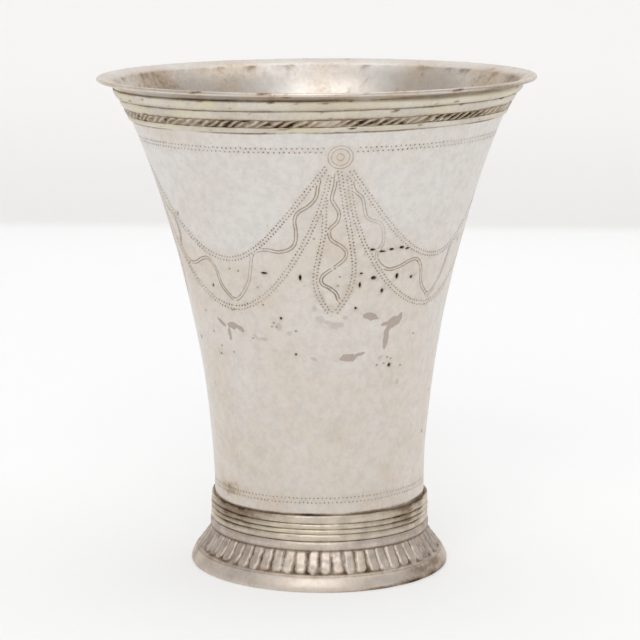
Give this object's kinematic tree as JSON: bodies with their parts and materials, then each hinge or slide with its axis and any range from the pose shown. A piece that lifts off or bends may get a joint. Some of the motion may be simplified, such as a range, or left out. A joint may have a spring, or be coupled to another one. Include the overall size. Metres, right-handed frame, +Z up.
{
  "type": "silver beaker",
  "caption": "Waisted drinking beaker of worn silver with a turned-out lip, a gilded rope moulding, pricked festoons and a flared tongued foot.",
  "frame": {"origin": "on the surface the beaker stands on, under the point where the slightly leaning beaker balances, within a millimetre of the middle of the foot", "axes": "+Z up out of the mouth, -Y towards the viewer of the picture, +X to the viewer's right"},
  "size_m": [0.0881, 0.088, 0.1008],
  "materials": {
    "silver_body": "worn silver, softly dulled, with small pits and grey-brown stains",
    "gilt_moulding": "silver with the remains of pale gilding, dark in the grooves",
    "silver_collar": "brownish tarnished silver, dark between the wires",
    "silver_foot": "brownish tarnished silver, dark round the tongues"
  },
  "bodies": {
    "root": {"body": "silver_body", "rim_moulding": "gilt_moulding", "collar": "silver_collar", "foot": "silver_foot"}
  },
  "joints": []
}
